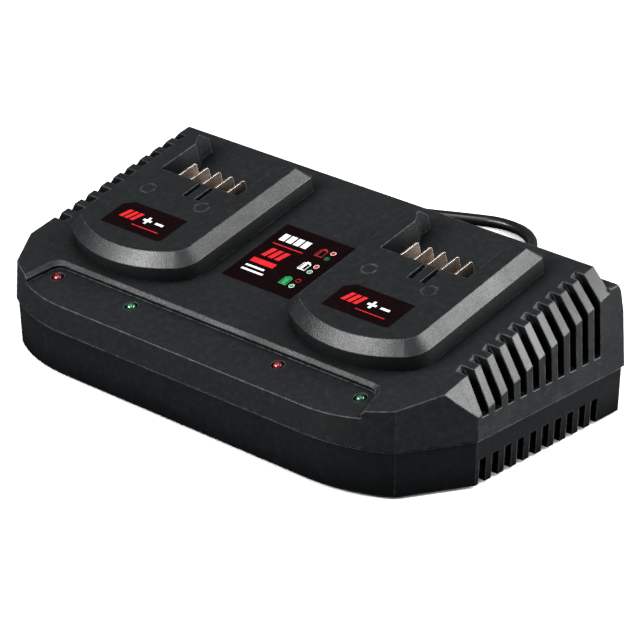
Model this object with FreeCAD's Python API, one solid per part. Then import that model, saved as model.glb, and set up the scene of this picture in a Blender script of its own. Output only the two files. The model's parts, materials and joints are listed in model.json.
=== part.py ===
import FreeCAD, Part
import math
import os

V = FreeCAD.Vector
os.makedirs("parts", exist_ok=True)

# Frame: X across the charger, Y towards its rear, Z up, origin under its centre on the table
half_width = 145.0
front_y = -77.3
rear_y = 77.3
foot_proud = 1.5
seam_z = 25.3
wall = 2.4
seam_overhang = 1.0
seam_groove_h = 0.9
seam_groove_in = 0.9
draft = 0.05
rear_lean = 0.02
loft_top_z = 96.0

# Plan outline: straight front, an arc to each front corner, a cut corner, straight sides
front_arc_x = 80.0
front_arc_r = 83.0
corner_turn = math.radians(32.8)
corner_cut_angle = math.radians(59.7)

# Sloping top
slope = math.atan(0.2402)
top_z = 60.6
strip_depth = 3.5
strip_rear_y = -53.8
strip_half_front = half_width - 34.0
strip_half_rear = half_width - 40.0
strip_corner_r = 6.0
strip_lip = 1.5
strip_lip_out = 1.8

# Sloped side facets: lower crease and upper crest at the front and at the rear
crease_in = 1.1
crease_front_z = 24.8
crease_slope = 0.279
crest_front_x = 136.3
crest_rear_x = 132.4
facet_end_y = 66.5
ledge_z = 68.2
ledge_start_x = 120.0
ledge_round = 3.2

# Rounded top edge of the rear wall, as places (y, z) from the top down
rear_edge = ((66.5, 76.6), (71.5, 70.8), (75.0, 64.5), (76.7, 54.0))

# Vents
vent_count = 10
vent_pitch = 9.07
vent_first_y = -24.8
vent_width = 4.7
vent_inner_x = half_width - 17.0
vent_end_run = 4.5
vent_end_t = 2.0
vent_low_z = 36.0
low_vent_top_z = 14.3
low_vent_depth = 7.0

# Battery bays, in the frame of the sloping top: u across, v up the slope, w off the surface
bay_x = 0.5062 * half_width
bay_half = 41.85
bay_front_v = -49.5
bay_front_r = 66.0
bay_corner_r = 14.4
rail_round = 3.5
bay_wall_h = 8.0
bevel = 5.8
rail_end_v = 55.7
recess_half = 26.6
recess_front_v = 17.1
bay_wall = 2.2
window_u0 = -20.0
window_v0 = 8.0
key_slot_u = (2.3, 10.4)
key_slot_w = 3.0
key_slot_v0 = 4.2
mark_u = (-19.5, 17.5)
mark_v = 0.7
mark_r = 4.0
bay_screw_r = 1.5

# Contact blades
blade_count = 5
blade_pitch = 8.33
blade_first_u = -14.0
blade_t = 0.8
blade_top_w = 13.7
blade_tip_v = 29.9
blade_shoulder_w = 10.5
blade_root_v = 11.0
blade_tail_w = -9.0

# Labels
label_t = 0.25
bay_label_u = (-20.8, 19.6)
bay_label_v = (-31.9, -11.9)
centre_label_w = 44.2
centre_label_v = (-23.0, 24.6)
centre_label_u = -1.0
plate_size = (70.0, 30.0)

# Status lights
led_outer_x = half_width - 45.5
led_inner_x = half_width / 3
led_x = (-led_outer_x, -led_inner_x, led_inner_x, led_outer_x)
led_y = -60.2
led_r = 2.5
led_flange_r = 4.0
led_clear = 0.75
led_rise = 1.3
led_post_x = (-74.0, 20.0, 74.0)

# Fixings and feet
post_r = 4.0
screw_r = 1.5
screw_head_r = 2.9
screw_head_h = 2.2
screw_clear = 0.2
pilot_clear = 0.03
post_rear_x = half_width - 47.0
post_front_x = half_width - 27.0
post_places = ((-post_rear_x, 60.0), (post_rear_x, 60.0), (-post_front_x, -45.0), (post_front_x, -45.0),
               (0.0, 60.0), (0.0, -62.0))
boss_gap = 0.2
screw_bite = 9.0
foot_r = 7.0
foot_h = 3.0
foot_rear_x = half_width - 17.0
foot_front_x = half_width - 45.0
foot_places = ((-foot_rear_x, 62.0), (foot_rear_x, 62.0), (-foot_front_x, -60.0), (foot_front_x, -60.0))

# Where the mains cord comes in
cord_r = 3.1
cord_x = 25.0 - half_width
cord_z = 13.5

# Main board and what stands on it
board_size = (2 * (half_width - 35.0), 92.0)
board_t = 1.6
board_y = 2.0
board_z = 12.0
stand_off_r = 3.5
board_hole_x = board_size[0] / 2 - 6.0
board_hole_y = 40.0
core_size = (32.0, 28.0, 22.0)
core_window = (20.0, 13.0)
transformer_x = (-0.262 * half_width, 0.262 * half_width)
transformer_y = 8.0
sink_size = (36.0, 12.0, 20.0)
sink_fins = 6
sink_base_t = 3.0
sink_fin_t = 1.4
sink_x = 58.0
sink_y = -32.0
transistor_gap = 16.0
capacitor_r = 9.0
capacitor_h = 22.0
capacitor_y = (4.0, 27.0)
output_capacitor_r = 5.0
output_capacitor_h = 14.0
output_capacitor_x = (-14.0, 0.0, 14.0)
output_capacitor_y = -28.0
choke_place = (cord_x + 40.0, 4.0)
choke_r = 8.0
choke_tube_r = 3.6
rectifier_place = (-63.0, 36.0)
rectifier_size = (18.0, 4.0, 16.0)
fuse_x = cord_x + 24.0
fuse_y = 28.0
fuse_len = 20.0
fuse_r = 2.6
fuse_cap_len = 5.0
terminal_y = 4.0
terminal_size = (14.0, 10.0, 11.0)
terminal_gap = 11.0
socket_size = (16.0, 7.0, 7.0)
socket_y = 30.0
socket_x = (-bay_x + 44, bay_x + 12)

# Mains cord, its boot, coil and plug
boot_len = 32.0
boot_r0 = 6.2
boot_r1 = 4.1
gland_r = 5.4
flange_r = 7.6
flange_t = 2.5
clamp_y = rear_y - 26.0
clamp_half_w = 14.0
clamp_screw_x = 10.0
clamp_top_z = cord_z + cord_r + 2.6
tie_t = 0.8
tie_w = 8.0
tie_shift = 1.0
tie_clear = 0.3
coil_x = 38.5
coil_y = 124.5
coil_outer_r = 40.0
coil_pitch = 6.8
coil_turns_in = 3
coil_z = cord_r + tie_t
plug_w = 34.0
plug_len = 36.0
plug_half_t = 6.85
plug_boot_len = 16.0
pin_r = 2.0
pin_len = 19.0
pin_half_gap = 9.3

# Route of the free cord from the boot to the coil, and from the coil to the plug
stretch_points = [
    (cord_x, rear_y - seam_overhang + boot_len, cord_z),
    (cord_x, 124, cord_z), (-119.5, 147, 3.7), (-112, 168, 3.1), (-95, 186.5, 3.1), (-74, 196, 3.1),
    (-57, 205, 3.1), (-41, 212.5, 3.1), (-23, 211, 3.1), (-9, 200, 3.1), (-2.2, 182, 3.1),
    (coil_x - coil_outer_r, 156, coil_z), (coil_x - coil_outer_r, coil_y + 2 * cord_r, coil_z),
]


def tilted(shape, x=0.0):
    """Carries a shape from the frame of the sloping top into the charger's frame."""
    turn = FreeCAD.Rotation(V(1, 0, 0), math.degrees(slope))
    shape.Placement = FreeCAD.Placement(V(x, 0, top_z), turn).multiply(shape.Placement)
    return shape


def box(x0, x1, y0, y1, z0, z1):
    return Part.makeBox(x1 - x0, y1 - y0, z1 - z0, V(x0, y0, z0))


def rod(r, z0, z1, x=0.0, y=0.0):
    return Part.makeCylinder(r, z1 - z0, V(x, y, z0))


def joined(shapes):
    return shapes[0].multiFuse(shapes[1:]).removeSplitter() if len(shapes) > 1 else shapes[0]


def cut_all(shape, tools):
    return shape.cut(Part.makeCompound(tools)) if tools else shape


def save(name, shape):
    solids = shape if isinstance(shape, list) else shape.Solids
    out = solids[0] if len(solids) == 1 else Part.makeCompound(solids)
    bad = [s for s in solids if not s.isValid() or s.Volume <= 0]
    print(name, len(solids), "solids", "BAD" if bad or not solids else "ok", round(out.Volume, 1))
    out.exportStep("parts/" + name + ".step")


def mirror_x(shape):
    return shape.mirror(V(0, 0, 0), V(1, 0, 0))


def place_z(x, y):
    """Height of the sloping top at a place."""
    return top_z + math.tan(slope) * y


# Body outline and shells
def body_wire(inset, z, rear_inset):
    """Plan outline of the body, moved inwards."""
    front = front_y + inset
    radius = front_arc_r - inset
    centre = V(front_arc_x, front_y + front_arc_r, 0)
    corner = centre + V(math.sin(corner_turn), -math.cos(corner_turn), 0) * front_arc_r
    along = V(math.cos(corner_cut_angle), math.sin(corner_cut_angle), 0)
    inward = V(-along.y, along.x, 0)
    start = corner + inward * inset
    # Where the inner corner cut meets the inner front arc
    rel = start - centre
    b = rel.dot(along)
    c = rel.dot(rel) - radius * radius
    cut_start = start - along * (b + math.sqrt(b * b - c))
    side = half_width - inset
    cut_end = cut_start + along * ((side - cut_start.x) / along.x)
    out = cut_start - centre
    mid_angle = math.atan2(out.x, -out.y) / 2
    arc_mid = centre + V(math.sin(mid_angle), -math.cos(mid_angle), 0) * radius
    rear = rear_y - rear_inset
    lift = V(0, 0, z)
    right = [V(front_arc_x, front, 0), arc_mid, cut_start, cut_end, V(side, rear, 0)]
    right = [p + lift for p in right]
    left = [V(-p.x, p.y, p.z) for p in right]
    edges = [
        Part.LineSegment(left[0], right[0]).toShape(),
        Part.Arc(right[0], right[1], right[2]).toShape(),
        Part.LineSegment(right[2], right[3]).toShape(),
        Part.LineSegment(right[3], right[4]).toShape(),
        Part.LineSegment(right[4], left[4]).toShape(),
        Part.LineSegment(left[4], left[3]).toShape(),
        Part.LineSegment(left[3], left[2]).toShape(),
        Part.Arc(left[2], left[1], left[0]).toShape(),
    ]
    return Part.Wire(edges)


def side_facet(inset):
    """Wedge that the sloped facet takes off the right side."""
    wires = []
    for y in (front_y - 10, facet_end_y - inset):
        share = (y - front_y) / (rear_y - front_y)
        crest_x = crest_front_x + (crest_rear_x - crest_front_x) * share - inset
        crest_z = place_z(0, y)
        crease_x = half_width - crease_in - inset
        crease_z = crease_front_z + crease_slope * (y - front_y) - inset * 0.4
        rise = (crest_z - crease_z) / (crease_x - crest_x)
        up = V(crest_x - 12, y, crest_z + 12 * rise)
        down = V(crease_x + 8, y, crease_z - 8 * rise)
        wires.append(Part.makePolygon([down, up, V(crease_x + 60, y, up.z), V(crease_x + 60, y, down.z), down]))
    return Part.makeLoft(wires, True, True)


def ledge_cutter(inset):
    """Space above the low ledge behind the right facet."""
    y = facet_end_y - inset - 0.01
    low = ledge_z - inset
    edge = half_width - inset
    pts = [V(ledge_start_x, y, low), V(edge - ledge_round, y, low), V(edge - ledge_round / 3, y, low - ledge_round / 3),
           V(edge + 2, y, low - ledge_round * 3), V(edge + 20, y, low - 20), V(edge + 20, y, 120),
           V(ledge_start_x, y, 120)]
    return Part.Face(Part.makePolygon(pts + pts[:1])).extrude(V(0, 40, 0))


def rear_edge_cutter(inset):
    """Space behind and above the rounded rear edge."""
    pts = [V(-200, y - inset, z - inset) for y, z in rear_edge]
    last = pts[-1]
    pts += [V(-200, last.y + 20, last.z - 20), V(-200, last.y + 60, 120), V(-200, pts[0].y - 12, 120),
            V(-200, pts[0].y - 12, pts[0].z + 12 * 1.16)]
    return Part.Face(Part.makePolygon(pts + pts[:1])).extrude(V(400, 0, 0))


def rounded_corner(p, q, r, radius):
    """Start, middle and end of an arc of a given radius at the corner q."""
    a = (p - q).normalize()
    b = (r - q).normalize()
    half = a.getAngle(b) / 2
    inward = (a + b).normalize()
    cut = radius / math.tan(half)
    return q + a * cut, q + inward * (radius / math.sin(half) - radius), q + b * cut


def strip_wire(grow, w):
    """Outline of the stepped front strip, in the frame of the sloping top."""
    rear_v = strip_rear_y / math.cos(slope) + grow
    front_v = (front_y - 20) / math.cos(slope)
    f = 2 * strip_half_front - strip_half_rear + grow
    r = strip_half_rear + grow
    a, b, c, d = V(-f, front_v, w), V(f, front_v, w), V(r, rear_v, w), V(-r, rear_v, w)
    right = rounded_corner(b, c, d, strip_corner_r)
    left = rounded_corner(c, d, a, strip_corner_r)
    return Part.Wire([
        Part.LineSegment(a, b).toShape(),
        Part.LineSegment(b, right[0]).toShape(),
        Part.Arc(*right).toShape(),
        Part.LineSegment(right[2], left[0]).toShape(),
        Part.Arc(*left).toShape(),
        Part.LineSegment(left[2], a).toShape(),
    ])


def strip_cutter(depth, grow):
    """Space of the stepped front strip with its sloped lip."""
    low = Part.Face(strip_wire(grow, -depth)).extrude(V(0, 0, depth + 60))
    rise = strip_lip + 2.0
    out = strip_lip_out * rise / strip_lip
    lip = Part.makeLoft([strip_wire(grow, -grow - strip_lip), strip_wire(grow + out, rise - grow - strip_lip)],
                        True, True)
    return tilted(joined([low, lip]))

def upper_solid(inset):
    """Outside of the upper housing, or its hollow when moved inwards."""
    lift = (loft_top_z - seam_z)
    low = body_wire(inset, seam_z, inset)
    high = body_wire(inset + lift * draft, loft_top_z, inset + lift * rear_lean)
    solid = Part.makeLoft([low, high], True, True)
    above = tilted(box(-200, 200, -200, 200, -inset, 200))
    facet = side_facet(inset)
    ledge = ledge_cutter(inset)
    solid = cut_all(solid, [above, strip_cutter(strip_depth + inset, inset), rear_edge_cutter(inset)])
    return cut_all(solid, [facet, mirror_x(facet), ledge, mirror_x(ledge)])


def vent_slots():
    slots = []
    for i in range(vent_count):
        y = vent_first_y + i * vent_pitch
        top = place_z(0, y)
        deep_x = vent_inner_x + vent_end_run
        pts = [V(vent_inner_x - 1, y - vent_width / 2, top + 1), V(deep_x, y - vent_width / 2, top - vent_end_run),
               V(deep_x, y - vent_width / 2, top - vent_end_run - vent_end_t),
               V(vent_inner_x - 1, y - vent_width / 2, top - vent_end_run - vent_end_t),
               V(vent_inner_x - 1, y - vent_width / 2, vent_low_z), V(half_width + 5, y - vent_width / 2, vent_low_z),
               V(half_width + 5, y - vent_width / 2, 120), V(vent_inner_x - 1, y - vent_width / 2, 120)]
        slot = Part.Face(Part.makePolygon(pts + pts[:1])).extrude(V(0, vent_width, 0))
        slots += [slot, mirror_x(slot)]
    return slots


def post_top(x, y):
    return place_z(x, y) - wall - (strip_depth if y < strip_rear_y else 0)


def make_upper_housing():
    outer = upper_solid(0.0)
    hollow = upper_solid(wall)
    ribs = box(vent_inner_x, half_width + 5, front_y, rear_y, vent_low_z - wall, 100)
    hollow = cut_all(hollow, [ribs, mirror_x(ribs)])
    shell = cut_all(outer.cut(hollow), vent_slots())
    posts = []
    bores = []
    for x, y in post_places:
        posts.append(rod(post_r, seam_z + boss_gap, post_top(x, y) + 0.6, x, y))
        bores.append(rod(screw_r + pilot_clear, seam_z - 1, seam_z + screw_bite + 1, x, y))
    shell = joined([shell] + posts)
    for x in (-bay_x, bay_x):
        for u in mark_u:
            bores.append(tilted(rod(screw_r + screw_clear, -2 * wall, wall, u, mark_v), x))
        window = box(window_u0 - 1, recess_half + 1, window_v0 - 1, recess_front_v + 1, -3 * wall, 1)
        bores.append(tilted(window, x))
    for x in led_x:
        bores.append(led_axis_rod(x, led_r + led_clear, -12, 6))
    return cut_all(shell, bores)


def led_axis_rod(x, r, w0, w1):
    """Rod across the strip floor at one status light."""
    v = led_y / math.cos(slope)
    return tilted(rod(r, w0 - strip_depth, w1 - strip_depth, 0, v), x)


def make_lower_housing():
    outer = Part.makeLoft([body_wire(seam_overhang + 1.0, foot_proud, seam_overhang),
                           body_wire(seam_overhang, seam_z, seam_overhang)], True, True)
    hollow = Part.makeLoft([body_wire(seam_overhang + 1.0 + wall, foot_proud + wall, seam_overhang + wall),
                            body_wire(seam_overhang + wall, seam_z + 1, seam_overhang + wall)], True, True)
    groove = Part.makeLoft([body_wire(-5, z, -5) for z in (seam_z - seam_groove_h, seam_z + 1)], True, True)
    core = Part.makeLoft([body_wire(seam_overhang + seam_groove_in, z, seam_overhang + seam_groove_in)
                          for z in (seam_z - seam_groove_h - 1, seam_z + 2)], True, True)
    shell = outer.cut(hollow).cut(groove.cut(core))
    floor_z = foot_proud + wall
    bosses = []
    holes = []
    for x, y in post_places:
        bosses.append(rod(post_r, floor_z - 0.6, seam_z, x, y))
        holes.append(rod(screw_r + screw_clear, 0, seam_z + 1, x, y))
        holes.append(rod(screw_head_r + screw_clear, 0, foot_proud + screw_head_h + 4, x, y))
    for x in (-board_hole_x, board_hole_x):
        for y in (-board_hole_y, board_hole_y):
            bosses.append(rod(stand_off_r, floor_z - 0.6, board_z, x, y + board_y))
            holes.append(rod(screw_r + pilot_clear, board_z - 7, board_z + 1, x, y + board_y))
    bosses.append(box(cord_x - clamp_half_w, cord_x + clamp_half_w, clamp_y - 4, clamp_y + 4,
                      floor_z - 0.6, cord_z - cord_r))
    for side in (-1, 1):
        holes.append(rod(screw_r + pilot_clear, floor_z + 0.5, cord_z, cord_x + side * clamp_screw_x, clamp_y))
    for x, y in foot_places:
        bosses.append(rod(foot_r + 2, foot_proud + 0.1, foot_proud + foot_h, x, y))
        holes.append(rod(foot_r + 0.05, 0, foot_h, x, y))
    holes.append(Part.makeCylinder(gland_r, 20, V(cord_x, rear_y - 12, cord_z), V(0, 1, 0)))
    for i in range(vent_count):
        y = vent_first_y + i * vent_pitch
        slot = box(half_width - low_vent_depth, half_width + 5, y - vent_width / 2, y + vent_width / 2,
                   0, low_vent_top_z)
        holes += [slot, mirror_x(slot)]
    return cut_all(joined([shell] + bosses), holes)


# Battery bays
def bay_wire(grow, w, end_v):
    """Outline of a bay: rounded front, straight sides, square rear."""
    half = bay_half + grow
    front = bay_front_v - grow
    big = bay_front_r + grow
    small = bay_corner_r + grow
    cx = half - small
    centre = V(0, front + big, w)
    corner = V(cx, centre.y - math.sqrt((big - small) ** 2 - cx ** 2), w)
    out = (corner - centre).normalize()
    touch = centre + out * big
    mid_turn = math.atan2(out.y, out.x) / 2
    mid = corner + V(math.cos(mid_turn), math.sin(mid_turn), 0) * small
    side = V(half, corner.y, w)
    r = max(0.3, rail_round + grow)
    turn = (V(half, end_v - r, w), V(half - r + r * math.sqrt(0.5), end_v - r + r * math.sqrt(0.5), w),
            V(half - r, end_v, w))

    def flip(p):
        return V(-p.x, p.y, p.z)
    return Part.Wire([
        Part.Arc(flip(touch), V(0, front, w), touch).toShape(),
        Part.Arc(touch, mid, side).toShape(),
        Part.LineSegment(side, turn[0]).toShape(),
        Part.Arc(*turn).toShape(),
        Part.LineSegment(turn[2], flip(turn[2])).toShape(),
        Part.Arc(*[flip(p) for p in turn[::-1]]).toShape(),
        Part.LineSegment(flip(turn[0]), flip(side)).toShape(),
        Part.Arc(flip(side), flip(mid), flip(touch)).toShape(),
    ])


def bay_form(grow, low, top):
    """Bay's outside, or its hollow: upright wall and a bevel all round."""
    lower = Part.Face(bay_wire(grow, low, rail_end_v + grow)).extrude(V(0, 0, top - bevel - low))
    cap = Part.makeLoft([bay_wire(grow, top - bevel, rail_end_v + grow),
                         bay_wire(grow - bevel, top, rail_end_v + grow - bevel)], True, True)
    return joined([lower, cap])


def recess_cutter(grow, low):
    """Space where the battery's foot slides in, open to the rear."""
    flare = 4.0
    end = rail_end_v + 20
    turn_v = rail_end_v - bevel - 7
    half = recess_half + grow
    pts = [V(-half, recess_front_v - grow, low), V(half, recess_front_v - grow, low), V(half, turn_v, low),
           V(half + flare, turn_v + 6, low), V(half + flare, end, low), V(-half - flare, end, low),
           V(-half - flare, turn_v + 6, low), V(-half, turn_v, low)]
    return Part.Face(Part.makePolygon(pts + pts[:1])).extrude(V(0, 0, 60))


def make_bay(x):
    top = bay_wall_h + bevel
    outer = bay_form(0.0, 0.0, top).cut(recess_cutter(0.0, -1.0))
    hollow = bay_form(-bay_wall, -1.0, top - bay_wall).cut(recess_cutter(bay_wall, -2.0))
    shell = outer.cut(hollow)
    bosses = []
    holes = []
    for u in mark_u:
        bosses.append(rod(mark_r, 0, top - 0.5, u, mark_v))
        holes.append(rod(bay_screw_r + pilot_clear, -1, 9, u, mark_v))
        holes.append(rod(mark_r, top - 0.25, top + 1, u, mark_v).cut(rod(mark_r - 0.5, top - 1, top + 1, u, mark_v)))
    for u in key_slot_u:
        holes.append(box(u - key_slot_w / 2, u + key_slot_w / 2, key_slot_v0, recess_front_v + 1, 3.0, 30))
    holes.append(box(window_u0, recess_half - 0.4, window_v0, recess_front_v + 1, -1, top - bay_wall))
    return tilted(cut_all(joined([shell] + bosses), holes), x)


def make_blades(x):
    blades = []
    for i in range(blade_count):
        u = blade_first_u + i * blade_pitch - blade_t / 2
        pts = [(blade_root_v, blade_tail_w), (blade_root_v + 4, blade_tail_w), (blade_root_v + 4, 0.6),
               (blade_tip_v - 5, 0.6), (blade_tip_v - 2, 4.0), (blade_tip_v, blade_top_w - 6.0),
               (blade_tip_v - 0.3, blade_top_w - 0.8), (blade_tip_v - 1.2, blade_top_w), (recess_front_v + 0.3, blade_top_w),
               (recess_front_v + 0.3, blade_shoulder_w), (blade_root_v, blade_shoulder_w)]
        wire = Part.makePolygon([V(u, v, w) for v, w in pts + pts[:1]])
        blades.append(tilted(Part.Face(wire).extrude(V(blade_t, 0, 0)), x))
    return blades


def make_carrier(x):
    low = -8.0
    top = bay_wall_h + bevel - bay_wall - 0.2
    block = box(window_u0 + 0.2, recess_half - 0.6, window_v0 + 0.2, recess_front_v - 1.5, low, top)
    flange = box(window_u0 - 4, recess_half + 4, window_v0 - 4, recess_front_v + 4, low, -wall)
    body = tilted(joined([block, flange]), x)
    grooves = []
    for u in key_slot_u:
        grooves.append(tilted(box(u - key_slot_w / 2, u + key_slot_w / 2, 0, 40, 3.0, 30), x))
    return cut_all(body, grooves + make_blades(x))


def make_bay_screws():
    screws = []
    for x in (-bay_x, bay_x):
        for u in mark_u:
            shank = rod(bay_screw_r, -wall - 0.02, 7.5, u, mark_v)
            head = rod(screw_head_r, -wall - 0.02 - screw_head_h, -wall - 0.02, u, mark_v)
            screws.append(tilted(joined([shank, head]), x))
    return screws


# Labels lie on the mouldings
def bay_label(x):
    u0, u1 = bay_label_u
    v0, v1 = bay_label_v
    w = bay_wall_h + bevel
    pts = [V(u0, v0, w), V(u1 - 2.5, v0, w), V(u1, v0 + 1.2, w), V(u1, v1, w), V(u0 + 5, v1, w),
           V(u0, v1 - 4, w)]
    return tilted(Part.Face(Part.makePolygon(pts + pts[:1])).extrude(V(0, 0, label_t)), x)


def centre_label():
    v0, v1 = centre_label_v
    half = centre_label_w / 2
    return tilted(box(centre_label_u - half, centre_label_u + half, v0, v1, 0, label_t))


def make_led(x):
    v = led_y / math.cos(slope)
    centre_w = led_rise - led_r
    body = joined([rod(led_r, -wall - 3, centre_w, 0, v), Part.makeSphere(led_r, V(0, v, centre_w)),
                   rod(led_flange_r, -wall - 4, -wall - 0.02, 0, v)])
    body.translate(V(0, 0, -strip_depth))
    return tilted(body, x)


def make_led_board():
    v = led_y / math.cos(slope)
    low = -strip_depth - wall - 4 - board_t
    plate = tilted(box(led_x[0] - 8, led_x[-1] + 8, v - 5, v + 5, low, low + board_t))
    return cut_all(plate, [rod(post_r + 1, 0, 80, x, y) for x, y in post_places])


def make_led_board_posts():
    """Short posts that carry the light board under the strip floor."""
    v = led_y / math.cos(slope)
    low = -strip_depth - wall - 4
    return [tilted(rod(2.0, low, -strip_depth - wall, x, v)) for x in led_post_x]


# Fixings
def make_housing_screws():
    screws = []
    head_z = foot_proud + screw_head_h + 4
    for x, y in post_places:
        head = rod(screw_head_r, head_z - screw_head_h, head_z, x, y)
        screws.append(joined([head, rod(screw_r, head_z, seam_z + screw_bite, x, y)]))
    return screws


def make_board_screws():
    screws = []
    top = board_z + board_t
    for x in (-board_hole_x, board_hole_x):
        for y in (-board_hole_y + board_y, board_hole_y + board_y):
            screws.append(joined([rod(screw_r, top - 7, top, x, y), rod(screw_head_r, top, top + 2, x, y)]))
    return screws


def make_board():
    w, d = board_size
    plate = box(-w / 2, w / 2, board_y - d / 2, board_y + d / 2, board_z, board_z + board_t)
    holes = [rod(screw_r + screw_clear, 0, 40, x, y + board_y)
             for x in (-board_hole_x, board_hole_x) for y in (-board_hole_y, board_hole_y)]
    holes += [rod(post_r + 1, 0, 40, x, y) for x, y in post_places]
    return cut_all(plate, holes)


def make_transformer(x):
    w, d, h = core_size
    ww, wh = core_window
    z = board_z + board_t
    limb = 8.0
    y = transformer_y
    frame = box(x - w / 2, x + w / 2, y - limb / 2, y + limb / 2, z, z + h)
    opening = box(x - ww / 2, x + ww / 2, y - limb, y + limb, z + (h - wh) / 2, z + (h + wh) / 2)
    leg = box(x - 3.5, x + 3.5, y - limb / 2, y + limb / 2, z, z + h)
    core = joined([frame.cut(opening), leg])
    low = z + (h - wh) / 2 + 0.2
    high = z + (h + wh) / 2 - 0.2
    coil = box(x - ww / 2 + 0.3, x + ww / 2 - 0.3, y - d / 2, y + d / 2, low, high)
    rounding = [e for e in coil.Edges if abs(e.BoundBox.ZLength - (high - low)) < 0.01]
    coil = coil.makeFillet(5.0, rounding)
    leg_space = box(x - 3.6, x + 3.6, y - limb / 2 - 0.1, y + limb / 2 + 0.1, low - 1, high + 1)
    feet = [box(x - 8, x + 8, y + s * (d / 2 - 4) - 1.5, y + s * (d / 2 - 4) + 1.5, z, low + 1) for s in (-1, 1)]
    return core, joined([coil.cut(leg_space)] + feet)


def make_sink(x, y):
    w, d, h = sink_size
    z = board_z + board_t
    pieces = [box(x - w / 2, x + w / 2, y, y + sink_base_t, z, z + h)]
    step = (w - sink_fin_t) / (sink_fins - 1)
    for i in range(sink_fins):
        u = x - w / 2 + i * step
        pieces.append(box(u, u + sink_fin_t, y + sink_base_t - 0.5, y + d, z, z + h))
    return joined(pieces)


def make_transistor(x, y):
    z = board_z + board_t
    tab = box(x - 5, x + 5, y - 4.5, y, z + 4, z + 19)
    legs = [box(x + u - 0.4, x + u + 0.4, y - 2.9, y - 2.3, z, z + 4.2) for u in (-2.54, 0, 2.54)]
    return joined([tab] + legs)


def board_parts():
    z = board_z + board_t
    parts = {}
    for name, x in zip(("left", "right"), transformer_x):
        core, coil = make_transformer(x)
        parts[name + "_transformer_core"] = core
        parts[name + "_transformer_winding"] = coil
    parts["left_heat_sink"] = make_sink(-sink_x, sink_y)
    parts["right_heat_sink"] = make_sink(sink_x, sink_y)
    parts["power_transistors"] = [make_transistor(side * sink_x + u, sink_y)
                                  for side in (-1, 1) for u in (-transistor_gap / 2, transistor_gap / 2)]
    parts["bulk_capacitors"] = [rod(capacitor_r, z, z + capacitor_h, 0, y) for y in capacitor_y]
    parts["output_capacitors"] = [rod(output_capacitor_r, z, z + output_capacitor_h, x, output_capacitor_y)
                                  for x in output_capacitor_x]
    x, y = choke_place
    parts["mains_choke"] = Part.makeTorus(choke_r, choke_tube_r, V(x, y, z + choke_tube_r), V(0, 0, 1))
    x, y = rectifier_place
    w, d, h = rectifier_size
    parts["bridge_rectifier"] = box(x - w / 2, x + w / 2, y - d / 2, y + d / 2, z, z + h)
    fuse_z = z + fuse_r
    caps = [Part.makeCylinder(fuse_r, fuse_cap_len, V(x, fuse_y, fuse_z), V(1, 0, 0))
            for x in (fuse_x, fuse_x + fuse_len - fuse_cap_len)]
    glass = Part.makeCylinder(fuse_r - 0.2, fuse_len - 2 * fuse_cap_len + 1,
                              V(fuse_x + fuse_cap_len - 0.5, fuse_y, fuse_z), V(1, 0, 0))
    parts["mains_fuse"] = joined(caps + [glass])
    w, d, h = terminal_size
    x = cord_x + terminal_gap
    parts["mains_terminal"] = box(x, x + w, terminal_y - d, terminal_y, z, z + h)
    w, d, h = socket_size
    parts["output_sockets"] = [box(x - w / 2, x + w / 2, socket_y - d / 2, socket_y + d / 2, z, z + h)
                               for x in socket_x]
    return parts


# Cords and leads
def corner_arc(p, q, r):
    """Tangent arc at a corner: start, middle, end, centre line radius."""
    a = (p - q)
    b = (r - q)
    la = a.Length
    lb = b.Length
    a.normalize()
    b.normalize()
    turn = math.pi - a.getAngle(b)
    cut = 0.45 * min(la, lb)
    radius = cut / math.tan(turn / 2)
    s = q + a * cut
    e = q + b * cut
    half = (s + e) * 0.5
    out = (q - half)
    chord = (e - s).Length / 2
    sag = radius - math.sqrt(radius * radius - chord * chord)
    mid = half + out.normalize() * sag
    return s, mid, e, radius


def route_wire(points):
    """Straight runs joined by tangent arcs."""
    pts = [V(*p) for p in points]
    edges = []
    radii = []
    at = pts[0]
    for i in range(1, len(pts) - 1):
        s, m, e, radius = corner_arc(pts[i - 1], pts[i], pts[i + 1])
        edges.append(Part.LineSegment(at, s).toShape())
        edges.append(Part.Arc(s, m, e).toShape())
        radii.append(round(radius, 1))
        at = e
    edges.append(Part.LineSegment(at, pts[-1]).toShape())
    return Part.Wire(edges), radii


def tube_along(wire, r, name):
    edge = wire.OrderedEdges[0]
    start = edge.valueAt(edge.FirstParameter)
    heading = edge.tangentAt(edge.FirstParameter)
    ring = Part.Wire(Part.makeCircle(r, start, heading))
    tube = wire.makePipeShell([ring], True, False)
    wanted = math.pi * r * r * wire.Length
    print(name, "length", round(wire.Length, 1), "volume share", round(tube.Volume / wanted, 4))
    return tube


def make_tube(points, r, name):
    wire, radii = route_wire(points)
    print(name, "radii", radii)
    return tube_along(wire, r, name)


def half_turn(p, q, heading):
    """Two quarter arcs from p to q, turning half a turn."""
    d = (q - p).Length / 2
    a = p + heading * d
    b = q + heading * d
    m = (a + b) * 0.5
    edges = []
    for s, corner, e in ((p, a, m), (m, b, q)):
        half = (s + e) * 0.5
        chord = (e - s).Length / 2
        cos_half = chord / (corner - s).Length
        radius = chord / math.sqrt(1 - cos_half * cos_half)
        sag = radius - math.sqrt(radius * radius - chord * chord)
        edges.append(Part.Arc(s, half + (corner - half).normalize() * sag, e).toShape())
    return edges


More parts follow.
